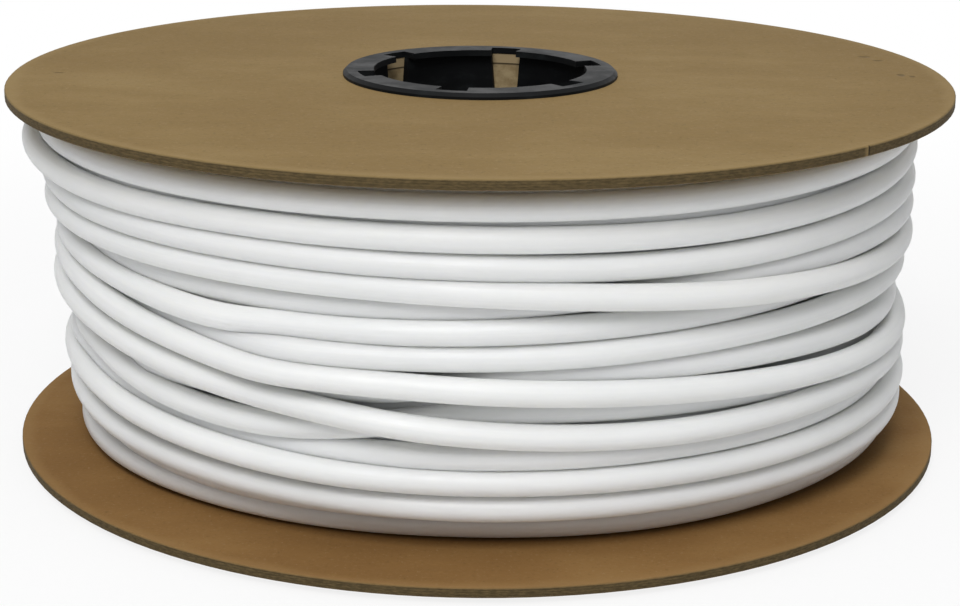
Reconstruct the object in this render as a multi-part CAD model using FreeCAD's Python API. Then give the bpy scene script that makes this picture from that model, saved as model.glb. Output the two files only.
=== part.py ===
"""Reel of polyethylene tubing, lying on its side.

Two round chipboard flanges are clamped on the ends of a wound cardboard core by two snap-in
plastic hubs.  The tubing is wound on the core in many layers and is built here as one turned
coil, whose outer face has the rounds of its last layer.

Frame: millimetres, +Z up along the reel's axis, origin at the centre of the lower hub's rim,
where the reel stands on the floor.  One STEP file is written for each separate piece.
"""

import FreeCAD
import Part
import math
import os

# Tubing and coil
TUBE_DIAMETER = 9.525        # 3/8 in outside diameter
UPPER_FREEBOARD = 11.5       # from the last layer out to the upper flange's rim
LOWER_FREEBOARD = 25.5       # from the last layer out to the lower flange's rim
COIL_TOP_CLEARANCE = 0.5     # play between the last round and the upper flange

# Cardboard flanges and core
FLANGE_DIAMETER = 381.0      # 15 in
FLANGE_THICKNESS = 4.0
FLANGE_EDGE_ROUND = 0.5      # die-cut edge, slightly crushed
TRAVERSE = 140.0             # clear width between the flanges
CORE_BORE = 101.6            # 4 in inside diameter, also the hole in each flange
CORE_WALL = 5.0

# Plastic hubs
HUB_FIT = 0.3                # radial play of the hub's fingers in the core
HUB_WALL = 2.4               # thickness of a finger
HUB_DEPTH = 36.0             # reach of the fingers below the rim
RIM_THICKNESS = 2.5
RIM_LAP = 5.2                # how far the rim laps over the flange, past its hole
RIM_LIP = 4.6                # how far the rim steps in from the fingers, to the arbor's bore
RIM_BEVEL = 1.4              # bevel round the rim's outer edge
FINGER_COUNT = 6
SLOT_ANGLE = 14.4            # degrees that each notch takes out of the rim
SLOT_TIP_WIDTH = 7.0         # the slots close in towards the fingers' tips
FIRST_SLOT_ANGLE = 17.0      # degrees from +X
FINGER_TIP_BEVEL = 0.9       # lead-in on the fingers' tips

Z_AXIS = FreeCAD.Vector(0, 0, 1)
LOWER_FLANGE_Z = RIM_THICKNESS
TRAVERSE_Z = LOWER_FLANGE_Z + FLANGE_THICKNESS
UPPER_FLANGE_Z = TRAVERSE_Z + TRAVERSE
OVERALL_HEIGHT = UPPER_FLANGE_Z + FLANGE_THICKNESS + RIM_THICKNESS


def point(radius, height):
    """A point of a turned outline, in the XZ plane."""
    return FreeCAD.Vector(radius, 0, height)


def turned(edges):
    """A solid turned about Z from the closed outline that the edges make."""
    face = Part.Face(Part.Wire(edges))
    return face.revolve(FreeCAD.Vector(0, 0, 0), Z_AXIS, 360)


def turned_polygon(corners):
    """A solid turned about Z from (radius, height) corners."""
    return turned(Part.makePolygon([point(*c) for c in corners + corners[:1]]).Edges)


def flange(bottom):
    """A die-cut board disc with the core's hole and a slightly rounded rim."""
    outer = FLANGE_DIAMETER / 2
    inner = CORE_BORE / 2
    top = bottom + FLANGE_THICKNESS
    edge = FLANGE_EDGE_ROUND
    return turned_polygon([
        (inner, bottom),
        (outer - edge, bottom),
        (outer, bottom + edge),
        (outer, top - edge),
        (outer - edge, top),
        (inner, top),
    ])


def core_tube():
    """The wound cardboard core, butted between the two flanges."""
    inner = CORE_BORE / 2
    outer = inner + CORE_WALL
    return turned_polygon([
        (inner, TRAVERSE_Z),
        (outer, TRAVERSE_Z),
        (outer, UPPER_FLANGE_Z),
        (inner, UPPER_FLANGE_Z),
    ])


def coil_rounds():
    """(centre radius, centre height) of each round of the last layer, from the bottom up."""
    clear = TRAVERSE - COIL_TOP_CLEARANCE
    count = int(clear / TUBE_DIAMETER)
    pitch = clear / count
    first = (FLANGE_DIAMETER - TUBE_DIAMETER) / 2 - LOWER_FREEBOARD
    rise = (LOWER_FREEBOARD - UPPER_FREEBOARD) / (count - 1)
    return [(first + rise * i, TRAVERSE_Z + pitch * (i + 0.5)) for i in range(count)]


def tubing_coil():
    """The wound tubing as one turned body, with the rounds of its last layer on its outside."""
    inner = CORE_BORE / 2 + CORE_WALL
    half = TUBE_DIAMETER / 2
    rounds = coil_rounds()
    low = TRAVERSE_Z
    high = UPPER_FLANGE_Z - COIL_TOP_CLEARANCE
    edges = [Part.LineSegment(point(inner, low), point(rounds[0][0], low)).toShape()]
    last = point(rounds[0][0], low)
    for radius, height in rounds:
        start = point(radius, height - half)
        crest = point(radius + half, height)
        end = point(radius, height + half)
        if start.distanceToPoint(last) > 1e-6:
            edges.append(Part.LineSegment(last, start).toShape())
        edges.append(Part.Arc(start, crest, end).toShape())
        last = end
    for corner in (point(rounds[-1][0], high), point(inner, high), point(inner, low)):
        if corner.distanceToPoint(last) > 1e-6:
            edges.append(Part.LineSegment(last, corner).toShape())
        last = corner
    return turned(edges)


def rim_notch(reach, low, high):
    """A wedge about +X, as wide as a notch, from the axis out to the fingers' outer face."""
    half = math.radians(SLOT_ANGLE / 2)
    near = FreeCAD.Vector(0, 0, low)
    left = FreeCAD.Vector(reach * math.cos(half), reach * math.sin(half), low)
    right = FreeCAD.Vector(left.x, -left.y, low)
    outline = [
        Part.LineSegment(near, right).toShape(),
        Part.Arc(right, FreeCAD.Vector(reach, 0, low), left).toShape(),
        Part.LineSegment(left, near).toShape(),
    ]
    return Part.Face(Part.Wire(outline)).extrude(FreeCAD.Vector(0, 0, high - low))


def finger_slot(reach, tip, seat):
    """A bar along +X that narrows from the notch's width at the rim to the fingers' tips."""
    mouth = reach * math.sin(math.radians(SLOT_ANGLE / 2))
    end = SLOT_TIP_WIDTH / 2
    outline = [(-mouth, seat), (mouth, seat), (end, tip), (-end, tip), (-mouth, seat)]
    section = Part.makePolygon([FreeCAD.Vector(0, across, height) for across, height in outline])
    return Part.Face(section).extrude(FreeCAD.Vector(CORE_BORE / 2, 0, 0))


def upper_hub():
    """Snap-in hub: a flat rim lapped over the flange, and fingers down inside the core."""
    seat = UPPER_FLANGE_Z + FLANGE_THICKNESS
    top = seat + RIM_THICKNESS
    tip = seat - HUB_DEPTH
    rim = CORE_BORE / 2 + RIM_LAP
    outer = CORE_BORE / 2 - HUB_FIT
    inner = outer - HUB_WALL
    bore = inner - RIM_LIP
    body = turned_polygon([
        (bore, top),
        (bore, seat),
        (inner, seat),
        (inner, tip),
        (outer - FINGER_TIP_BEVEL, tip),
        (outer, tip + FINGER_TIP_BEVEL),
        (outer, seat),
        (rim, seat),
        (rim, top - RIM_BEVEL),
        (rim - RIM_BEVEL, top),
    ])
    cutters = []
    for i in range(FINGER_COUNT):
        for cutter in (rim_notch(outer, seat, top), finger_slot(outer, tip, seat)):
            angle = FIRST_SLOT_ANGLE + 360 / FINGER_COUNT * i
            cutters.append(cutter.rotated(FreeCAD.Vector(0, 0, 0), Z_AXIS, angle))
    return body.cut(cutters)


def lower_hub(upper):
    """The same hub turned over, in the lower flange."""
    middle = FreeCAD.Vector(0, 0, OVERALL_HEIGHT / 2)
    return upper.mirror(middle, Z_AXIS)


def one_solid(shape, name):
    """The shape's only solid, or an error that names the piece."""
    if len(shape.Solids) != 1:
        raise ValueError(f"{name} has {len(shape.Solids)} solids, not 1")
    solid = shape.Solids[0]
    if not solid.isValid():
        raise ValueError(f"{name} isn't a valid solid")
    return solid


def main():
    """Builds every piece and writes its STEP file."""
    hub = upper_hub()
    pieces = {
        "lower_flange": flange(LOWER_FLANGE_Z),
        "upper_flange": flange(UPPER_FLANGE_Z),
        "core_tube": core_tube(),
        "tubing_coil": tubing_coil(),
        "upper_hub": hub,
        "lower_hub": lower_hub(hub),
    }
    os.makedirs("parts", exist_ok=True)
    for name, shape in pieces.items():
        solid = one_solid(shape, name)
        solid.exportStep(f"parts/{name}.step")
        box = solid.optimalBoundingBox()
        print(f"{name}: {box.XLength:.1f} x {box.YLength:.1f} x {box.ZLength:.1f} mm, "
              f"{solid.Volume / 1000:.1f} cm3")


main()
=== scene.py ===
"""Reel of polyethylene tubing: the wound turns, the board and moulded finishes, the studio and the camera.

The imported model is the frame.  Its flanges, core and hubs keep their meshes and get their finishes here.
The plain turned coil is replaced by the real turns of tube, laid one over another round the core.
"""

import logging
import math
from dataclasses import dataclass, field
from enum import Enum

import bpy
import numpy as np
from mathutils import Matrix, Vector


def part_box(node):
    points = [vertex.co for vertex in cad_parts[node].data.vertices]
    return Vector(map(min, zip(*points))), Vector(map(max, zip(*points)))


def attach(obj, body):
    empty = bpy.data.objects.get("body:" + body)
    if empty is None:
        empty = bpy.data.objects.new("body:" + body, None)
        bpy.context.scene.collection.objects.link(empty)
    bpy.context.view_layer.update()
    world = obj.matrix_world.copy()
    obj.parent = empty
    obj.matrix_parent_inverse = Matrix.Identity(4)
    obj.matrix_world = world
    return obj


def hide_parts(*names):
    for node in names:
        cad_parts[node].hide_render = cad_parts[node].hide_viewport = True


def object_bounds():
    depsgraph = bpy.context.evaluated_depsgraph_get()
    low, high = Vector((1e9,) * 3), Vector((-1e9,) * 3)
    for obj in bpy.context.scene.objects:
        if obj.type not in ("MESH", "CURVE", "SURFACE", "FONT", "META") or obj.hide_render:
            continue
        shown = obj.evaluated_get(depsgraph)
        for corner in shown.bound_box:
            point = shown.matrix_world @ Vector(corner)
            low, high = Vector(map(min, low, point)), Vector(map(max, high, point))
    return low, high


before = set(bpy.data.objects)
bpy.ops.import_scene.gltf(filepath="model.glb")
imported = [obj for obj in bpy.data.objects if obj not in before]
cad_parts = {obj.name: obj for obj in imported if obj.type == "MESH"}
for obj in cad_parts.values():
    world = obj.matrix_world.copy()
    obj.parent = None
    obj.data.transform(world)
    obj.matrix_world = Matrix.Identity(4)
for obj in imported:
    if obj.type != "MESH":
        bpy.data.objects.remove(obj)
CAD_BOX = [list(corner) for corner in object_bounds()]

LOG = logging.getLogger("reel")
MM = 0.001
BODY = "root"

Colour = tuple[float, float, float]
Place = tuple[float, float, float]
Station = tuple[float, float, float]


class Slot(Enum):
    """The record's material slots."""

    TUBING = "tubing"
    CARDBOARD = "cardboard"
    CORE_BOARD = "core_board"
    HUB_PLASTIC = "hub_plastic"


class Layer(Enum):
    """The layers of turns that are modelled, with the names of their pieces."""

    OUTER = "tubing_outer_turns"
    INNER = "tubing_inner_turns"


def smoothstep(low: float, high: float, value: np.ndarray) -> np.ndarray:
    """Eases from 0 at low to 1 at high.

    Args:
        low: where the rise starts.
        high: where it ends.
        value: the numbers to ease.

    Returns:
        The eased share of each number.
    """
    t = np.clip((value - low) / (high - low), 0.0, 1.0)
    return t * t * (3.0 - 2.0 * t)


def blurred(values: np.ndarray, spread: float) -> np.ndarray:
    """Smooths a run of values as a stiff tube would.

    Args:
        values: evenly spaced values along the tube.
        spread: the standard deviation of the blur, in samples.

    Returns:
        The smoothed values, as many as before.
    """
    reach = int(math.ceil(3 * spread))
    weights = np.exp(-0.5 * (np.arange(-reach, reach + 1) / spread) ** 2)
    padded = np.pad(values, reach, mode="edge")
    return np.convolve(padded, weights / weights.sum(), mode="valid")


def widened(values: np.ndarray, reach: int) -> np.ndarray:
    """Carries each crest along the tube, because a stiff tube bridges the dips beside it.

    Args:
        values: evenly spaced radii along the tube.
        reach: samples that a crest carries each way.

    Returns:
        The largest value within reach of each sample.
    """
    padded = np.pad(values, reach, mode="edge")
    return np.lib.stride_tricks.sliding_window_view(padded, 2 * reach + 1).max(axis=1)


# --------------------------------------------------------------------------------------------------
# Node helpers
# --------------------------------------------------------------------------------------------------


class ShaderBuilder:
    """Adds and joins the nodes of one material."""

    def __init__(self, name: str) -> None:
        """Starts an empty material with a Principled shader.

        Args:
            name: the material's name.
        """
        self.material = bpy.data.materials.new(name)
        self.material.use_nodes = True
        self.tree = self.material.node_tree
        self.tree.nodes.clear()
        self.output = self.tree.nodes.new("ShaderNodeOutputMaterial")
        self.shader = self.tree.nodes.new("ShaderNodeBsdfPrincipled")
        self.join(self.shader.outputs[0], self.output.inputs["Surface"])

    def join(self, source: bpy.types.NodeSocket, target: bpy.types.NodeSocket) -> None:
        """Links one socket to another."""
        self.tree.links.new(source, target)

    def feed(self, socket: bpy.types.NodeSocket, value: object) -> None:
        """Links a socket to the value, or sets it when the value is a plain one.

        Args:
            socket: the input.
            value: another node's output, a plain value, or None to leave the input alone.
        """
        if isinstance(value, bpy.types.NodeSocket):
            self.join(value, socket)
        elif value is not None:
            socket.default_value = value

    def place(self) -> bpy.types.NodeSocket:
        """The object coordinates, in metres."""
        return self.tree.nodes.new("ShaderNodeTexCoord").outputs["Object"]

    def attribute(self, name: str) -> bpy.types.NodeSocket:
        """Reads a float attribute of the mesh.

        Args:
            name: the attribute's name.

        Returns:
            Its value.
        """
        node = self.tree.nodes.new("ShaderNodeAttribute")
        node.attribute_name = name
        return node.outputs["Fac"]

    def parts(self, vector: bpy.types.NodeSocket) -> tuple[bpy.types.NodeSocket, ...]:
        """Splits a vector.

        Args:
            vector: the vector.

        Returns:
            Its X, Y and Z.
        """
        node = self.tree.nodes.new("ShaderNodeSeparateXYZ")
        self.join(vector, node.inputs[0])
        return tuple(node.outputs)

    def vector(self, x: object, y: object, z: object) -> bpy.types.NodeSocket:
        """Joins three numbers or sockets.

        Args:
            x: the first part.
            y: the second part.
            z: the third part.

        Returns:
            The vector.
        """
        node = self.tree.nodes.new("ShaderNodeCombineXYZ")
        for socket, value in zip(node.inputs, (x, y, z)):
            self.feed(socket, value)
        return node.outputs[0]

    def scaled(self, vector: bpy.types.NodeSocket, scale: Place) -> bpy.types.NodeSocket:
        """Stretches a vector.

        Args:
            vector: the vector.
            scale: the factor along each axis.

        Returns:
            The stretched vector.
        """
        node = self.tree.nodes.new("ShaderNodeMapping")
        self.join(vector, node.inputs["Vector"])
        node.inputs["Scale"].default_value = scale
        return node.outputs[0]

    def math(self, kind: str, a: object, b: object = None, c: object = None) -> bpy.types.NodeSocket:
        """Adds a Math node.

        Args:
            kind: the node's operation.
            a: the first value or socket.
            b: the second, where there is one.
            c: the third, where there is one.

        Returns:
            The result.
        """
        node = self.tree.nodes.new("ShaderNodeMath")
        node.operation = kind
        for socket, value in zip(node.inputs, (a, b, c)):
            self.feed(socket, value)
        return node.outputs[0]

    def distance(self, x: bpy.types.NodeSocket, y: bpy.types.NodeSocket) -> bpy.types.NodeSocket:
        """How far a point of a plane lies from the plane's origin.

        Args:
            x: the point's first coordinate.
            y: its second coordinate.

        Returns:
            The distance.
        """
        squares = self.math("ADD", self.math("MULTIPLY", x, x), self.math("MULTIPLY", y, y))
        return self.math("SQRT", squares)

    def noise(self, vector: object, scale: float, detail: float = 3.0,
              rough: float = 0.5) -> bpy.types.NodeSocket:
        """Adds a noise texture.

        Args:
            vector: where it is read.
            scale: how many waves there are in one unit.
            detail: how many finer layers it has.
            rough: how strong the finer layers are.

        Returns:
            A value that varies about 0.5.
        """
        node = self.tree.nodes.new("ShaderNodeTexNoise")
        self.feed(node.inputs["Vector"], vector)
        node.inputs["Scale"].default_value = scale
        node.inputs["Detail"].default_value = detail
        node.inputs["Roughness"].default_value = rough
        return node.outputs["Fac"]

    def ranged(self, value: object, low: float, high: float, out_low: float = 0.0,
               out_high: float = 1.0) -> bpy.types.NodeSocket:
        """Carries a value from one range to another, smoothly and clamped.

        Args:
            value: the value or socket.
            low: the start of its range.
            high: the end of its range.
            out_low: what the start becomes.
            out_high: what the end becomes.

        Returns:
            The value in its new range.
        """
        node = self.tree.nodes.new("ShaderNodeMapRange")
        node.interpolation_type = "SMOOTHSTEP"
        self.feed(node.inputs["Value"], value)
        node.inputs["From Min"].default_value = low
        node.inputs["From Max"].default_value = high
        node.inputs["To Min"].default_value = out_low
        node.inputs["To Max"].default_value = out_high
        return node.outputs["Result"]

    def mix(self, share: object, a: object, b: object) -> bpy.types.NodeSocket:
        """Mixes two colours.

        Args:
            share: how much of the second there is.
            a: the first colour.
            b: the second colour.

        Returns:
            The mixed colour.
        """
        node = self.tree.nodes.new("ShaderNodeMix")
        node.data_type = "RGBA"
        self.feed(node.inputs[0], share)
        for socket, value in ((node.inputs[6], a), (node.inputs[7], b)):
            self.feed(socket, (*value, 1.0) if isinstance(value, tuple) else value)
        return node.outputs[2]

    def bump(self, height: object, depth: float, strength: float = 1.0,
             under: object = None) -> bpy.types.NodeSocket:
        """Adds relief, on top of another when one is given.

        Args:
            height: the relief, from 0 to 1.
            depth: its full depth in metres.
            strength: how strongly it shows.
            under: the normal that it starts from.

        Returns:
            The new normal.
        """
        node = self.tree.nodes.new("ShaderNodeBump")
        node.inputs["Strength"].default_value = strength
        node.inputs["Distance"].default_value = depth
        self.feed(node.inputs["Height"], height)
        self.feed(node.inputs["Normal"], under)
        return node.outputs[0]

    def set(self, name: str, value: object) -> None:
        """Sets or links one socket of the shader."""
        self.feed(self.shader.inputs[name], value)


# --------------------------------------------------------------------------------------------------
# Finishes
# --------------------------------------------------------------------------------------------------


@dataclass(frozen=True)
class PolyethyleneFinish:
    """Milky, semi-clear tubing with a soft waxy gloss."""

    body: Colour = (0.895, 0.898, 0.876)
    cool: Colour = (0.850, 0.860, 0.842)
    roughness: float = 0.40
    glow: float = 0.8
    glow_radius: float = 0.010

    def build(self) -> bpy.types.Material:
        """Builds the material.

        Returns:
            A material whose streaks run along the tube.
        """
        b = ShaderBuilder("natural_polyethylene")
        along = b.attribute("along")
        around = b.attribute("around")
        turned = b.math("MULTIPLY", around, math.tau)
        ring = b.vector(b.math("COSINE", turned), b.math("SINE", turned), b.math("MULTIPLY", along, 0.9))
        streak = b.noise(ring, 3.2, 4.0, 0.6)
        cloud = b.noise(b.place(), 22.0, 3.0)
        tone = b.math("ADD", b.math("MULTIPLY", streak, 0.45), b.math("MULTIPLY", cloud, 0.55))
        b.set("Base Color", b.mix(b.ranged(tone, 0.36, 0.64), self.cool, self.body))
        scuff = b.noise(b.place(), 160.0, 5.0, 0.65)
        b.set("Roughness", b.ranged(scuff, 0.3, 0.75, self.roughness - 0.05, self.roughness + 0.12))
        b.set("IOR", 1.5)
        b.set("Specular IOR Level", 0.35)
        b.set("Subsurface Weight", self.glow)
        b.set("Subsurface Radius", (1.0, 1.0, 0.92))
        b.set("Subsurface Scale", self.glow_radius)
        fine = b.bump(b.noise(ring, 9.0, 4.0, 0.6), 0.00012, 0.6)
        b.set("Normal", b.bump(b.noise(b.place(), 420.0, 3.0), 0.00003, 0.5, fine))
        return b.material


@dataclass(frozen=True)
class Dent:
    """A small pressed mark in a board's face, in metres."""

    x: float
    y: float
    length: float
    width: float


@dataclass(frozen=True)
class ChipboardFinish:
    """Plain brown chipboard with fine fibres, a rubbed rim, and plies on its edge."""

    name: str
    low_z: float
    rim_radius: float
    hole_radius: float
    thickness: float
    face: Colour = (0.244, 0.164, 0.064)
    worn: Colour = (0.288, 0.200, 0.086)
    dark: Colour = (0.212, 0.138, 0.051)
    edge_light: Colour = (0.136, 0.096, 0.042)
    edge_dark: Colour = (0.055, 0.038, 0.016)
    hole: Colour = (0.36, 0.27, 0.15)
    plies: int = 4
    nick_angle: float = -44.1
    dents: tuple[Dent, ...] = ()

    def face_colour(self, b: ShaderBuilder, place: bpy.types.NodeSocket,
                    radius: bpy.types.NodeSocket) -> tuple[bpy.types.NodeSocket, bpy.types.NodeSocket]:
        """The flat face's colour.

        Args:
            b: the material's builder.
            place: the object coordinates.
            radius: the distance from the axis.

        Returns:
            The colour and the fibres that make its bump.
        """
        broad = b.noise(place, 7.0, 3.0, 0.5)
        patch = b.noise(b.scaled(place, (20.0, 42.0, 42.0)), 1.0, 3.0, 0.55)
        grain = b.noise(b.scaled(place, (190.0, 460.0, 460.0)), 1.0, 4.0, 0.6)
        speck = b.noise(place, 620.0, 4.0, 0.7)
        cloud = b.math("ADD", b.math("MULTIPLY", broad, 0.6), b.math("MULTIPLY", patch, 0.4))
        face = b.mix(b.ranged(cloud, 0.32, 0.68), self.dark, self.face)
        face = b.mix(b.ranged(cloud, 0.46, 0.74, 0.0, 0.6), face, self.worn)
        face = b.mix(b.ranged(grain, 0.55, 0.75, 0.0, 0.38), face, self.worn)
        face = b.mix(b.ranged(grain, 0.25, 0.45, 0.38, 0.0), face, self.dark)
        face = b.mix(b.ranged(speck, 0.26, 0.44, 0.40, 0.0), face, self.edge_dark)
        face = b.mix(b.ranged(speck, 0.56, 0.76, 0.0, 0.45), face, self.hole)
        uneven = b.math("MULTIPLY", b.math("SUBTRACT", b.noise(place, 24.0, 3.0), 0.5), 0.010)
        reached = b.math("ADD", radius, uneven)
        rubbed = b.ranged(reached, self.rim_radius - 0.0065, self.rim_radius - 0.0008, 0.0, 0.55)
        return b.mix(rubbed, face, self.worn), grain

    def dent_depth(self, b: ShaderBuilder, x: bpy.types.NodeSocket, y: bpy.types.NodeSocket) -> object:
        """How deep each place lies in the dents.

        Args:
            b: the material's builder.
            x: the first object coordinate.
            y: the second object coordinate.

        Returns:
            The depth from 0 to 1, or plain 0 where the board has no dents.
        """
        deepest = 0.0
        for dent in self.dents:
            across = b.math("DIVIDE", b.math("SUBTRACT", x, dent.x), dent.length)
            along = b.math("DIVIDE", b.math("SUBTRACT", y, dent.y), dent.width)
            away = b.distance(across, along)
            deepest = b.math("MAXIMUM", b.ranged(away, 0.25, 0.6, 1.0, 0.0), deepest)
        return deepest

    def edge_colour(self, b: ShaderBuilder, place: bpy.types.NodeSocket,
                    z: bpy.types.NodeSocket) -> tuple[bpy.types.NodeSocket, bpy.types.NodeSocket]:
        """The cut edge's colour.

        Args:
            b: the material's builder.
            place: the object coordinates.
            z: their height.

        Returns:
            The colour and the relief of the plies.
        """
        depth = b.math("DIVIDE", b.math("SUBTRACT", z, self.low_z), self.thickness)
        waves = b.noise(b.scaled(place, (30, 30, 90)), 1.0, 4.0)
        wander = b.math("MULTIPLY", b.math("SUBTRACT", waves, 0.5), 0.16)
        ply = b.math("FRACT", b.math("MULTIPLY", b.math("ADD", depth, wander), float(self.plies)))
        seam = b.ranged(ply, 0.0, 0.35, 1.0, 0.0)
        fibre = b.noise(b.scaled(place, (420, 420, 1500)), 1.0, 4.0, 0.65)
        edge = b.mix(b.ranged(fibre, 0.32, 0.68, 0.15, 0.85), self.edge_dark, self.edge_light)
        edge = b.mix(b.math("MULTIPLY", seam, 0.30), edge, self.edge_dark)
        # The edge is lighter at its top ply and darker towards its bottom.
        edge = b.mix(b.ranged(depth, 0.80, 0.94, 0.0, 0.55), edge, self.worn)
        edge = b.mix(b.ranged(depth, 0.0, 0.35, 0.5, 0.0), edge, self.edge_dark)
        return edge, b.math("SUBTRACT", fibre, seam)

    def build(self) -> bpy.types.Material:
        """Builds the material.

        Returns:
            A material that tells the disc's faces, rim and hole apart by the distance from the axis.
        """
        b = ShaderBuilder(self.name)
        place = b.place()
        x, y, z = b.parts(place)
        radius = b.distance(x, y)
        face, grain = self.face_colour(b, place, radius)
        dents = self.dent_depth(b, x, y)
        # Painted shade: each dent is darkened towards its middle, standing in for the shade in the pressed
        # hole.
        face = b.mix(b.math("MULTIPLY", dents, 0.55), face, self.edge_dark)
        edge, relief = self.edge_colour(b, place, z)
        turn = b.math("ARCTAN2", y, x)
        from_nick = b.math("SUBTRACT", turn, math.radians(self.nick_angle))
        past = b.math("MULTIPLY", from_nick, self.rim_radius)
        cut = b.ranged(b.math("ABSOLUTE", past), 0.0002, 0.0007, 1.0, 0.0)
        scuff = b.math("MULTIPLY", b.ranged(past, -0.0032, -0.0008), b.ranged(past, -0.0006, 0.0, 1.0, 0.0))
        edge = b.mix(b.math("MULTIPLY", scuff, 0.8), edge, self.worn)
        edge = b.mix(b.math("MULTIPLY", cut, 0.9), edge, tuple(c * 0.3 for c in self.edge_dark))
        on_rim = b.ranged(radius, self.rim_radius - 0.0005, self.rim_radius - 0.0002)
        in_hole = b.ranged(radius, self.hole_radius + 0.0001, self.hole_radius + 0.0004, 1.0, 0.0)
        colour = b.mix(in_hole, b.mix(on_rim, face, edge), self.hole)
        b.set("Base Color", colour)
        b.set("Roughness", b.ranged(grain, 0.3, 0.7, 0.80, 0.93))
        b.set("Specular IOR Level", 0.2)
        coarse = b.bump(b.noise(place, 60.0, 3.0), 0.0004, 0.25)
        fibres = b.bump(grain, 0.00010, 0.45, coarse)
        pressed = b.bump(b.math("SUBTRACT", 1.0, dents), 0.0004, 0.6, fibres)
        b.set("Normal", b.bump(b.math("MULTIPLY", on_rim, relief), 0.00022, 0.6, pressed))
        return b.material


@dataclass(frozen=True)
class WoundBoardFinish:
    """Spirally wound board of the core, lighter than the flanges, with painted shade at its two ends."""

    low_z: float
    high_z: float
    light: Colour = (0.390, 0.300, 0.165)
    dark: Colour = (0.270, 0.195, 0.098)
    # Painted shade for the core's two ends.
    end_shade: Colour = (0.030, 0.020, 0.010)
    ply_width: float = 0.062

    def build(self) -> bpy.types.Material:
        """Builds the material.

        Returns:
            A material with the spiral joints of the winding.
        """
        b = ShaderBuilder("wound_board")
        place = b.place()
        x, y, z = b.parts(place)
        turn = b.math("DIVIDE", b.math("ARCTAN2", y, x), math.tau)
        spiral = b.math("FRACT", b.math("ADD", b.math("DIVIDE", z, self.ply_width), turn))
        joint = b.ranged(spiral, 0.0, 0.03, 1.0, 0.0)
        fibre = b.noise(b.scaled(place, (220, 220, 260)), 1.0, 4.0, 0.65)
        board = b.mix(b.ranged(fibre, 0.34, 0.68), self.dark, self.light)
        board = b.mix(b.math("MULTIPLY", joint, 0.7), board, self.dark)
        ends = b.math("MINIMUM", b.math("SUBTRACT", z, self.low_z), b.math("SUBTRACT", self.high_z, z))
        # Painted shade: the core is darkened nearly to black within about a millimetre of each end, where
        # it meets the flanges.
        b.set("Base Color", b.mix(b.ranged(ends, 0.0003, 0.0011, 0.95, 0.0), board, self.end_shade))
        b.set("Roughness", 0.88)
        b.set("Specular IOR Level", 0.25)
        b.set("Normal", b.bump(b.math("SUBTRACT", fibre, joint), 0.0003, 0.6))
        return b.material


@dataclass(frozen=True)
class MouldedFinish:
    """Black moulded plastic with a fine satin grain and lighter rubbed smears."""

    body: Colour = (0.0030, 0.0034, 0.0038)
    rubbed: Colour = (0.018, 0.021, 0.022)
    roughness: float = 0.52

    def build(self) -> bpy.types.Material:
        """Builds the material.

        Returns:
            A satin black material.
        """
        b = ShaderBuilder("black_moulding")
        place = b.place()
        smear = b.noise(b.scaled(place, (60, 60, 160)), 1.0, 4.0, 0.6)
        grain = b.noise(place, 1500.0, 2.0)
        b.set("Base Color", b.mix(b.ranged(smear, 0.52, 0.78, 0.0, 0.6), self.body, self.rubbed))
        b.set("Roughness", b.ranged(smear, 0.3, 0.75, self.roughness - 0.06, self.roughness + 0.16))
        b.set("IOR", 1.25)
        b.set("Specular IOR Level", 0.3)
        b.set("Normal", b.bump(grain, 0.00004, 0.5, b.bump(smear, 0.00015, 0.3)))
        return b.material


# --------------------------------------------------------------------------------------------------
# Geometry Nodes
# --------------------------------------------------------------------------------------------------


def tube_tree() -> bpy.types.NodeTree:
    """Builds the node tree that sweeps a round tube along every path of a wire mesh.

    Returns:
        A tree with the inputs Outside Radius, Sides and Material.
    """
    tree = bpy.data.node_groups.new("TubeAlongPath", "GeometryNodeTree")
    face = tree.interface
    face.new_socket("Geometry", in_out="INPUT", socket_type="NodeSocketGeometry")
    face.new_socket("Outside Radius", in_out="INPUT", socket_type="NodeSocketFloat")
    face.new_socket("Sides", in_out="INPUT", socket_type="NodeSocketInt")
    face.new_socket("Material", in_out="INPUT", socket_type="NodeSocketMaterial")
    face.new_socket("Geometry", in_out="OUTPUT", socket_type="NodeSocketGeometry")
    made, link = tree.nodes.new, tree.links.new
    source = made("NodeGroupInput")
    target = made("NodeGroupOutput")
    to_curve = made("GeometryNodeMeshToCurve")
    sweep = made("GeometryNodeCurveToMesh")
    smooth = made("GeometryNodeSetShadeSmooth")
    realize = made("GeometryNodeRealizeInstances")
    paint = made("GeometryNodeSetMaterial")
    circle = made("GeometryNodeCurvePrimitiveCircle")

    def stored(geometry: bpy.types.NodeSocket, name: str, output: str) -> bpy.types.NodeSocket:
        """Stores one of a spline's own measures as an attribute of its points.

        Args:
            geometry: the curve.
            name: the attribute's name.
            output: the measure, as the node names it.

        Returns:
            The curve with the attribute.
        """
        measure = made("GeometryNodeSplineParameter")
        store = made("GeometryNodeStoreNamedAttribute")
        store.data_type = "FLOAT"
        store.domain = "POINT"
        store.inputs["Name"].default_value = name
        link(geometry, store.inputs["Geometry"])
        link(measure.outputs[output], store.inputs["Value"])
        return store.outputs["Geometry"]

    link(source.outputs["Geometry"], to_curve.inputs["Mesh"])
    link(source.outputs["Sides"], circle.inputs["Resolution"])
    link(source.outputs["Outside Radius"], circle.inputs["Radius"])
    link(stored(to_curve.outputs["Curve"], "along", "Length"), sweep.inputs["Curve"])
    link(stored(circle.outputs["Curve"], "around", "Factor"), sweep.inputs["Profile Curve"])
    sweep.inputs["Fill Caps"].default_value = True
    link(sweep.outputs["Mesh"], smooth.inputs["Geometry"])
    link(smooth.outputs["Geometry"], realize.inputs["Geometry"])
    link(realize.outputs["Geometry"], paint.inputs["Geometry"])
    link(source.outputs["Material"], paint.inputs["Material"])
    link(paint.outputs["Geometry"], target.inputs["Geometry"])
    return tree


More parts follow.
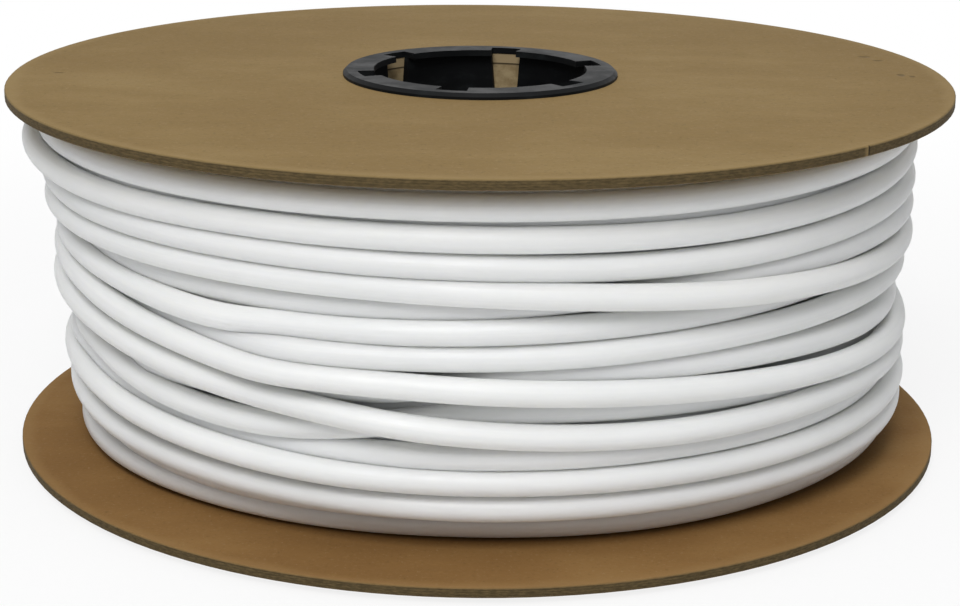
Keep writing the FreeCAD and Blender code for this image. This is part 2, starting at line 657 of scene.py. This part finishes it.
@dataclass
class Sweeper:
    """Turns centrelines into tubes with the shared node tree."""

    tree: bpy.types.NodeTree = field(default_factory=tube_tree)

    def socket(self, name: str) -> str:
        """Finds one of the tree's inputs.

        Args:
            name: the input's name.

        Returns:
            Its identifier, by which a modifier sets it.
        """
        for item in self.tree.interface.items_tree:
            if item.in_out == "INPUT" and item.name == name:
                return item.identifier
        raise KeyError(name)

    def sweep(self, name: str, paths: list[np.ndarray], closed: bool, radius: float, sides: int,
              material: bpy.types.Material) -> bpy.types.Object:
        """Sweeps a tube along each path and keeps the result as a plain mesh.

        Args:
            name: the piece's name.
            paths: the centrelines, each an array of points in metres.
            closed: whether each path joins its own end.
            radius: the tube's outside radius in metres.
            sides: the sides of its section.
            material: its finish.

        Returns:
            The new piece, at the origin.
        """
        points, edges, first = [], [], 0
        for path in paths:
            count = len(path)
            points.append(path)
            steps = np.arange(count if closed else count - 1)
            edges.append(np.stack([steps, (steps + 1) % count], axis=1) + first)
            first += count
        wire = bpy.data.meshes.new(name + "_path")
        wire.from_pydata(np.concatenate(points).tolist(), np.concatenate(edges).tolist(), [])
        piece = bpy.data.objects.new(name, wire)
        bpy.context.scene.collection.objects.link(piece)
        modifier = piece.modifiers.new("tube", "NODES")
        modifier.node_group = self.tree
        modifier[self.socket("Outside Radius")] = radius
        modifier[self.socket("Sides")] = sides
        modifier[self.socket("Material")] = material
        graph = bpy.context.evaluated_depsgraph_get()
        made = piece.evaluated_get(graph)
        mesh = bpy.data.meshes.new_from_object(made, preserve_all_data_layers=True, depsgraph=graph)
        piece.modifiers.clear()
        piece.data = mesh
        mesh.name = name
        return piece


# --------------------------------------------------------------------------------------------------
# The winding
# --------------------------------------------------------------------------------------------------


@dataclass(frozen=True)
class Turn:
    """One turn of the last layer.

    Each station is (degrees round from the front, height in mm, millimetres out from the layer's
    own surface).  The turns meet in even slots at the back.
    """

    name: str
    rank: int
    stations: tuple[Station, ...]


TURNS = (
    Turn("first", 8, (
        (-90, 138.5, -2), (-60, 137.4, 0), (-30, 137, 0), (0, 137, 0), (30, 137, 0), (60, 138.2, 0),
        (80, 139, -1), (95, 139, -4),
    )),
    Turn("second", 9, (
        (-130, 133, 3), (-95, 131.5, 7), (-80, 129.5, 6.5), (-60, 126, 2), (-45, 125.5, 0),
        (-30, 126.2, 0), (0, 125.7, 0), (30, 124.6, 0), (60, 127, 0), (80, 130.5, 0), (100, 130, 0),
    )),
    Turn("third", 7, (
        (-95, 120.5, 0), (-80, 118.8, 0), (-60, 116.6, 0), (-30, 117.1, 0), (0, 115.8, 0),
        (15, 114.2, 0), (30, 114.0, 0), (60, 116, 0), (80, 117.5, 0), (95, 118, 0),
    )),
    Turn("crossing_high", 14, (
        (-95, 107.5, 1), (-60, 107.4, 0), (-30, 107.8, 0), (-15, 107.6, 0), (0, 106.8, 0),
        (15, 105.3, 0), (30, 101.8, 0), (45, 98.5, 0), (60, 95.9, 0), (78, 94.8, 0), (95, 96, 0),
    )),
    Turn("crossed_high", 3, (
        (-90, 103, -11), (-75, 102, -9), (-60, 101.3, -7.5), (-45, 99.2, -5), (-30, 98.5, -4),
        (-15, 98.8, -4), (0, 99.8, -4), (15, 103.6, -4), (30, 105.4, -2.5), (45, 106.3, -1.5),
        (60, 106.7, -1), (78, 106.5, 0), (95, 106.5, 0),
    )),
    Turn("sixth", 4, (
        (-95, 97.5, -4), (-75, 96, -4), (-60, 93.7, -4.5), (-45, 90.8, -3.5), (-30, 90.2, -2.5),
        (-15, 90.6, -1.5), (0, 91.8, -0.5), (15, 92.9, -0.5), (30, 94, -2), (45, 94.8, -4.5),
        (60, 95, -8), (90, 92, -8.5), (130, 91, -8),
    )),
    Turn("seventh", 2, (
        (-130, 88, -9.5), (-90, 88, -9.5), (-75, 87, -9.5), (-60, 85.5, -9), (-45, 84.3, -5.5),
        (-30, 83, -2.5), (-15, 82, -0.5), (0, 82, 0), (15, 83.2, 0), (30, 84.4, 0), (45, 85.2, 0),
        (60, 85.2, -1), (78, 84.5, -2.5), (95, 84, -4),
    )),
    Turn("crossing_low", 15, (
        (-130, 86, 0), (-95, 89, 0), (-78, 87.4, 0), (-60, 83.4, 0), (-45, 79.4, 0), (-30, 75.2, 0),
        (-15, 73.4, 0), (0, 71.6, 0), (15, 68.6, 0), (30, 66, 0), (45, 63.4, 0), (60, 60.6, 0),
        (78, 58.4, 0), (95, 60, 0), (120, 65, 0),
    )),
    Turn("crossed_low", 1, (
        (-130, 78, -9), (-60, 77, -6), (-45, 73.8, -5), (-30, 70.2, -2.5), (-20, 67.6, -2),
        (-14, 66.4, -3), (-9, 67.5, -4.5), (-3, 72, -5.5), (3, 75, -4.5), (10, 75.7, -3.5),
        (15, 75.6, -3), (30, 75.3, -1.5), (45, 74.4, -1), (57, 72, -1.5), (67, 71.2, -3.5),
        (78, 70.8, -5), (95, 73, -7), (140, 69, -8.5),
    )),
    Turn("tenth", 12, (
        (-120, 78, -5), (-90, 77.5, -5), (-75, 75, -5), (-60, 71.6, -4), (-45, 68, -3),
        (-30, 64.2, -1.5), (-20, 61.4, -0.5), (-10, 57.8, 0), (0, 54.6, 0), (10, 52.2, 0),
        (20, 51, 0), (30, 50.8, 0), (45, 51.6, 0), (60, 51.8, 0), (78, 49.8, -1), (100, 51, 0),
    )),
    Turn("eleventh", 5, (
        (-110, 65, -7), (-75, 62.5, -7), (-60, 58, -3), (-50, 54, -1), (-45, 52.2, -0.5),
        (-30, 50.4, -1), (-20, 51.5, -2.5), (-10, 56, -5), (-4, 60, -5), (3, 61.4, -4.5),
        (12, 61, -4), (25, 60.6, -4), (40, 59.3, -3.5), (52, 57.5, -4), (65, 55.5, -6.5),
        (90, 54, -9), (140, 48, -9),
    )),
    Turn("twelfth", 0, (
        (-110, 55, -5), (-75, 54.5, -6), (-60, 49.5, -5), (-45, 44.5, -6.5), (-30, 43.9, -5),
        (-20, 43.8, -3.5), (-10, 44, -2), (0, 44.3, -1.5), (15, 44, -2), (30, 44, -2.5),
        (45, 44, -2), (60, 43.8, -3.5), (78, 43.2, -5.5), (95, 43, -5),
    )),
    Turn("thirteenth", 11, (
        (-95, 46.5, 1), (-78, 45.5, 1.5), (-60, 42.3, 0), (-45, 40, 0), (-30, 37.9, 0),
        (-15, 36, 0), (0, 34.8, 0), (15, 34.3, 0), (30, 34.1, 0), (45, 34.3, 0), (60, 34.8, 1),
        (78, 36.5, 2), (95, 36, 1),
    )),
    Turn("fourteenth", 13, (
        (-95, 33, 1), (-78, 31.5, 2), (-60, 28.3, 0.5), (-45, 27.2, 0), (-30, 26.2, 0),
        (-15, 25, 0), (0, 24.1, 0), (30, 23.8, 0), (45, 23.8, 0), (60, 24.6, 2), (78, 26.5, 3.5),
        (95, 26, 2),
    )),
    Turn("last", 10, (
        (-95, 15, 2), (-80, 14, 3), (-65, 13, 1), (-55, 13, -3), (-45, 12.8, -5), (-35, 12.5, -8),
        (-25, 12.3, -10), (-12, 12.2, -12), (0, 12.2, -13.5), (16, 12.3, -10), (28, 12.4, -7.5),
        (45, 12.6, -6.5), (56, 13, -6), (66, 14.5, -1), (80, 17, 4), (95, 16, 2),
    )),
)


@dataclass
class Winding:
    """The turns of tube on the core, from the layer that shows down to the one under it.

    Lengths are in millimetres.  The two contacts are the centre distance of touching tubes as a
    share of their diameter, a little under 1 because the tube is soft.  The crests are the last
    layer's outside radii at the crest heights, on the left and on the right of the front.
    """

    tube_radius: float = 4.7625
    samples: int = 252
    sides: int = 24
    inner_samples: int = 180
    inner_sides: int = 16
    inner_rows: int = 14
    inner_depth: float = 4.51
    deepest: float = 9.5
    outer_contact: float = 0.91
    inner_contact: float = 0.8281
    rank_step: float = 0.02
    settle_spread: float = 5.0
    height_spread: float = 4.5
    bridge: int = 2
    crest_heights: tuple[float, ...] = (12, 30, 50, 80, 105, 140)
    left_crests: tuple[float, ...] = (163, 168, 171, 173, 176, 180)
    right_crests: tuple[float, ...] = (167, 175, 176, 177, 177, 177)
    top_slot: float = 138.0
    bottom_slot: float = 14.0
    start_play: float = 0.3
    inner_play: float = 0.4
    inner_waver: float = 0.5
    end_sink: float = -8.0
    seed: int = 11

    def __post_init__(self) -> None:
        """Reads the space between the flanges from the frame, in millimetres."""
        self.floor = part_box("lower_flange")[1].z / MM
        self.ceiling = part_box("upper_flange")[0].z / MM
        self.outer_reach = 2 * self.tube_radius * self.outer_contact
        self.inner_reach = 2 * self.tube_radius * self.inner_contact

    def layer_radius(self, height: np.ndarray, degrees: np.ndarray) -> np.ndarray:
        """The centre radius of a tube that lies in the last layer.

        Args:
            height: heights in mm.
            degrees: degrees round from the front, to the right.

        Returns:
            The radii in mm.
        """
        left = np.interp(height, self.crest_heights, self.left_crests)
        right = np.interp(height, self.crest_heights, self.right_crests)
        round_back = (degrees + 180.0) % 360.0 - 180.0
        share = smoothstep(10.0, 75.0, round_back) * (1.0 - smoothstep(110.0, 178.0, round_back))
        return left + share * (right - left) - self.tube_radius

    def slots(self) -> np.ndarray:
        """The heights at which each turn hands over to the next, at the back."""
        return np.linspace(self.top_slot, self.bottom_slot, len(TURNS) - 1)

    def chain(self) -> tuple[np.ndarray, np.ndarray, np.ndarray]:
        """Lays all turns end to end.

        Returns:
            Degrees along the whole tube, its heights and its sinks, in mm.
        """
        slots = self.slots()
        starts = np.concatenate([[self.ceiling - self.tube_radius - self.start_play], slots])
        ends = np.concatenate([slots, [self.floor + self.tube_radius]])
        degrees, heights, sinks = [], [], []
        step = 360.0 / self.samples
        local = np.arange(self.samples) * step - 180.0
        for number, turn in enumerate(TURNS):
            sunk_start = self.end_sink if number == 0 else 0.0
            sunk_end = self.end_sink if number == len(TURNS) - 1 else 0.0
            angle = [-180.0, *(station[0] for station in turn.stations), 180.0]
            height = [starts[number], *(station[1] for station in turn.stations), ends[number]]
            sink = [sunk_start, *(station[2] for station in turn.stations), sunk_end]
            degrees.append(local + 360.0 * number)
            heights.append(np.interp(local, angle, height))
            sinks.append(np.interp(local, angle, sink))
        return (np.concatenate(degrees), blurred(np.concatenate(heights), self.height_spread),
                blurred(np.concatenate(sinks), self.settle_spread))

    def pressed(self, heights: np.ndarray, radii: np.ndarray, order: np.ndarray) -> np.ndarray:
        """Lifts each turn until it clears the turns that lie under it.

        Args:
            heights: the turns' heights, one row for each turn.
            radii: their centre radii before the lift.
            order: at each place round the reel, the turns from the lowest to the topmost.

        Returns:
            The lifted radii.
        """
        lifted = radii.copy()
        columns = np.arange(self.samples)
        for place, upper in enumerate(order):
            for lower in order[:place]:
                apart = np.abs(heights[upper, columns] - heights[lower, columns])
                lift = np.sqrt(np.maximum(self.outer_reach ** 2 - apart ** 2, 0.0))
                resting = np.where(apart < self.outer_reach, lifted[lower, columns] + lift, 0.0)
                lifted[upper, columns] = np.maximum(lifted[upper, columns], resting)
        return lifted

    def settle(self) -> tuple[np.ndarray, np.ndarray]:
        """Presses each turn in until it lies on the layer or on the turns under it.

        Returns:
            Heights and centre radii in mm, one row for each turn.
        """
        degrees, heights, sinks = self.chain()
        heights = np.clip(heights, self.floor + self.tube_radius, self.ceiling - self.tube_radius)
        shape = (len(TURNS), self.samples)
        z = heights.reshape(shape)
        ranks = np.array([turn.rank for turn in TURNS])[:, None]
        order = np.argsort(np.minimum(sinks.reshape(shape), 0.0) + self.rank_step * ranks, axis=0)
        radii = self.pressed(z, (self.layer_radius(heights, degrees) + sinks).reshape(shape), order)
        eased = blurred(widened(radii.ravel(), self.bridge), self.settle_spread).reshape(shape)
        radii = self.pressed(z, eased, order)
        return z, blurred(radii.ravel(), self.settle_spread / 2).reshape(shape)

    def points(self, degrees: np.ndarray, heights: np.ndarray, radii: np.ndarray) -> np.ndarray:
        """Points in metres from cylindrical coordinates about the reel's axis."""
        angle = np.radians(degrees)
        return np.stack([radii * np.sin(angle), -radii * np.cos(angle), heights], axis=1) * MM

    def outer_path(self) -> np.ndarray:
        """Lays the last layer.

        Returns:
            Its centreline, with all its turns in one piece.
        """
        z, radii = self.settle()
        degrees = np.arange(z.size) * (360.0 / self.samples) - 180.0
        return self.points(degrees, z.ravel(), radii.ravel())

    def inner_paths(self) -> list[np.ndarray]:
        """The centrelines of the rows under the last layer, pressed in by it.

        Returns:
            One closed ring for each row.
        """
        z, radii = self.settle()
        local = np.arange(self.samples) * (360.0 / self.samples) - 180.0
        degrees = np.arange(self.inner_samples) * (360.0 / self.inner_samples) - 180.0
        outer_z = np.array([np.interp(degrees, local, row, period=360.0) for row in z])
        outer_r = np.array([np.interp(degrees, local, row, period=360.0) for row in radii])
        random = np.random.default_rng(self.seed)
        low = self.floor + self.tube_radius
        high = self.ceiling - self.tube_radius
        paths = []
        # The lowest row would lie out in front of the sunk last turn, so it is left out.
        for row in np.linspace(low, high - self.inner_play, self.inner_rows)[1:]:
            phase = random.uniform(0.0, math.tau)
            height = row + self.inner_waver * np.sin(np.radians(degrees) + phase)
            height = np.clip(height, low, high)
            surface = self.layer_radius(height, degrees)
            apart = np.abs(outer_z - height)
            drop = np.sqrt(np.maximum(self.inner_reach ** 2 - apart ** 2, 0.0))
            room = np.where(apart < self.inner_reach, outer_r - drop, np.inf)
            radius = np.minimum(surface - self.inner_depth, room.min(axis=0))
            radius = np.maximum(radius, surface - self.deepest)
            paths.append(self.points(degrees, height, radius))
        return paths

    def build(self, sweeper: Sweeper, material: bpy.types.Material) -> list[bpy.types.Object]:
        """Makes both layers.

        Args:
            sweeper: what sweeps the tubes.
            material: the tubing's finish.

        Returns:
            The two pieces.
        """
        radius = self.tube_radius * MM
        last = [self.outer_path()]
        under = self.inner_paths()
        outer = sweeper.sweep(Layer.OUTER.value, last, False, radius, self.sides, material)
        inner = sweeper.sweep(Layer.INNER.value, under, True, radius, self.inner_sides, material)
        for piece in (outer, inner):
            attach(piece, BODY)
            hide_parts("tubing_coil")
            LOG.info("%s: %d faces", piece.name, len(piece.data.polygons))
        return [outer, inner]


# --------------------------------------------------------------------------------------------------
# The reel's own pieces
# --------------------------------------------------------------------------------------------------


@dataclass
class Reel:
    """The flanges, core and hubs of the frame, which only need their finishes."""

    hole_radius: float = 0.0508
    dents: tuple[Dent, ...] = (
        Dent(0.1651, 0.0492, 0.0060, 0.0035),
        Dent(0.1695, 0.0400, 0.0050, 0.0030),
        Dent(0.1731, 0.0060, 0.0035, 0.0060),
        Dent(0.1772, 0.0028, 0.0025, 0.0040),
        Dent(-0.1713, -0.0046, 0.0050, 0.0020),
    )

    def dress(self, node: str, material: bpy.types.Material) -> None:
        """Gives one of the frame's pieces its finish.

        Args:
            node: the piece's name.
            material: its finish.
        """
        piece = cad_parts[node]
        piece.data.materials.clear()
        piece.data.materials.append(material)
        LOG.info("%s: dressed in %s", node, material.name)

    def flange_finish(self, node: str, **changes: object) -> ChipboardFinish:
        """A chipboard finish fitted to one flange.

        Args:
            node: the flange.
            changes: what differs from the usual board.

        Returns:
            The finish.
        """
        low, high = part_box(node)
        return ChipboardFinish(
            name=node + "_board",
            low_z=low.z,
            rim_radius=high.x,
            hole_radius=self.hole_radius,
            thickness=high.z - low.z,
            **changes,
        )

    def build(self) -> None:
        """Dresses every piece."""
        self.dress("upper_flange", self.flange_finish("upper_flange", dents=self.dents).build())
        self.dress("lower_flange", self.flange_finish(
            "lower_flange",
            face=(0.262, 0.142, 0.046),
            worn=(0.300, 0.178, 0.068),
            dark=(0.215, 0.112, 0.035),
            nick_angle=140.0,
        ).build())
        low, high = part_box("core_tube")
        self.dress("core_tube", WoundBoardFinish(low.z, high.z).build())
        moulding = MouldedFinish().build()
        self.dress("upper_hub", moulding)
        self.dress("lower_hub", moulding)


# --------------------------------------------------------------------------------------------------
# Studio
# --------------------------------------------------------------------------------------------------


@dataclass(frozen=True)
class Lamp:
    """A square soft lamp that faces a point, in metres and watts."""

    name: str
    place: Place
    aim: Place
    size: float
    power: float


@dataclass
class Studio:
    """The pale floor, the soft lamps and the camera.

    The floor shows the object's shadow near by, and is plain white from afar.  The angles are in
    degrees.
    """

    floor_size: float = 8.0
    floor_colour: Colour = (0.88, 0.88, 0.88)
    floor_drop: float = 0.0002
    floor_white: float = 0.84
    shadow_reach: tuple[float, float] = (0.19, 0.75)
    world_colour: Colour = (0.93, 0.96, 1.0)
    world_strength: float = 0.20
    lamps: tuple[Lamp, ...] = (
        Lamp("key", (-0.3, -1.5, 1.6), (0.0, 0.0, 0.08), 0.8, 28.0),
        Lamp("overhead", (0.0, -0.1, 1.9), (0.0, 0.0, 0.08), 1.5, 10.0),
        Lamp("back", (0.3, 1.6, 1.3), (0.0, 0.0, 0.12), 1.5, 4.0),
    )
    camera_place: Place = (0.0, -0.8869, 0.3114)
    camera_pitch: float = 16.24
    camera_turn: float = 0.045
    camera_roll: float = 0.496
    lens: float = 82.24
    sensor: float = 36.0

    def white_to_camera(self, tree: bpy.types.NodeTree, lit: bpy.types.NodeSocket, kind: str,
                        share: object) -> bpy.types.NodeSocket:
        """Mixes a plain white in for what the camera, a mirror or glass sees.

        Args:
            tree: the material's or the world's nodes.
            lit: the shader that lights the object.
            kind: the type of the white shader's node.
            share: how much of the white is mixed in, a number or a socket.

        Returns:
            The mixed shader.
        """
        path = tree.nodes.new("ShaderNodeLightPath")
        seen = tree.nodes.new("ShaderNodeMath")
        seen.operation = "MAXIMUM"
        also = tree.nodes.new("ShaderNodeMath")
        also.operation = "MAXIMUM"
        tree.links.new(path.outputs["Is Camera Ray"], also.inputs[0])
        tree.links.new(path.outputs["Is Transmission Ray"], also.inputs[1])
        tree.links.new(path.outputs["Is Glossy Ray"], seen.inputs[0])
        tree.links.new(also.outputs[0], seen.inputs[1])
        white = tree.nodes.new(kind)
        white.inputs["Color"].default_value = (1.0, 1.0, 1.0, 1.0)
        white.inputs["Strength"].default_value = 1.0
        part = tree.nodes.new("ShaderNodeMath")
        part.operation = "MULTIPLY"
        if isinstance(share, bpy.types.NodeSocket):
            tree.links.new(share, part.inputs[1])
        else:
            part.inputs[1].default_value = share
        tree.links.new(seen.outputs[0], part.inputs[0])
        mixed = tree.nodes.new("ShaderNodeMixShader")
        tree.links.new(part.outputs[0], mixed.inputs[0])
        tree.links.new(lit, mixed.inputs[1])
        tree.links.new(white.outputs[0], mixed.inputs[2])
        return mixed.outputs[0]

    def world(self) -> None:
        """Lights the scene evenly and shows white behind the object."""
        world = bpy.data.worlds.new("studio")
        bpy.context.scene.world = world
        world.use_nodes = True
        tree = world.node_tree
        tree.nodes.clear()
        light = tree.nodes.new("ShaderNodeBackground")
        light.inputs["Color"].default_value = (*self.world_colour, 1.0)
        light.inputs["Strength"].default_value = self.world_strength
        output = tree.nodes.new("ShaderNodeOutputWorld")
        shown = self.white_to_camera(tree, light.outputs[0], "ShaderNodeBackground", 1.0)
        tree.links.new(shown, output.inputs["Surface"])

    def floor(self) -> None:
        """Makes the floor, level with the reel's foot."""
        half = self.floor_size / 2
        level = CAD_BOX[0][2] - self.floor_drop
        corners = [(-half, -half, level), (half, -half, level), (half, half, level), (-half, half, level)]
        mesh = bpy.data.meshes.new("floor")
        mesh.from_pydata(corners, [], [(0, 1, 2, 3)])
        piece = bpy.data.objects.new("floor", mesh)
        bpy.context.scene.collection.objects.link(piece)
        b = ShaderBuilder("pale_floor")
        b.set("Base Color", (*self.floor_colour, 1.0))
        b.set("Roughness", 0.7)
        b.set("Specular IOR Level", 0.0)
        x, y, _ = b.parts(b.place())
        away = b.distance(x, y)
        share = b.ranged(away, self.shadow_reach[0], self.shadow_reach[1], self.floor_white, 1.0)
        shown = self.white_to_camera(b.tree, b.shader.outputs[0], "ShaderNodeEmission", share)
        b.join(shown, b.output.inputs["Surface"])
        mesh.materials.append(b.material)

    def hang(self, lamp: Lamp) -> None:
        """Hangs one lamp.

        Args:
            lamp: its place, aim, size and power.
        """
        light = bpy.data.lights.new(lamp.name, "AREA")
        light.size = lamp.size
        light.energy = lamp.power
        piece = bpy.data.objects.new(lamp.name, light)
        bpy.context.scene.collection.objects.link(piece)
        piece.location = lamp.place
        beam = Vector(lamp.aim) - Vector(lamp.place)
        piece.rotation_euler = beam.to_track_quat("-Z", "Y").to_euler()

    def camera(self) -> None:
        """Sets the camera a little above the reel, in front of it."""
        data = bpy.data.cameras.new("camera")
        data.sensor_width = self.sensor
        data.lens = self.lens
        camera = bpy.data.objects.new("camera", data)
        bpy.context.scene.collection.objects.link(camera)
        turn = Matrix.Rotation(-math.radians(self.camera_turn), 4, "Z")
        pitch = Matrix.Rotation(math.radians(90.0 - self.camera_pitch), 4, "X")
        roll = Matrix.Rotation(math.radians(self.camera_roll), 4, "Z")
        camera.matrix_world = Matrix.Translation(Vector(self.camera_place)) @ turn @ pitch @ roll
        bpy.context.scene.camera = camera

    def build(self) -> None:
        """Builds the whole set."""
        self.camera()
        self.world()
        self.floor()
        for lamp in self.lamps:
            self.hang(lamp)
        bpy.context.scene.view_settings.view_transform = "Standard"


def main() -> None:
    logging.basicConfig(level=logging.INFO, format="%(name)s: %(message)s")
    Studio().build()
    Reel().build()
    Winding().build(Sweeper(), PolyethyleneFinish().build())


if __name__ == "__main__":
    main()
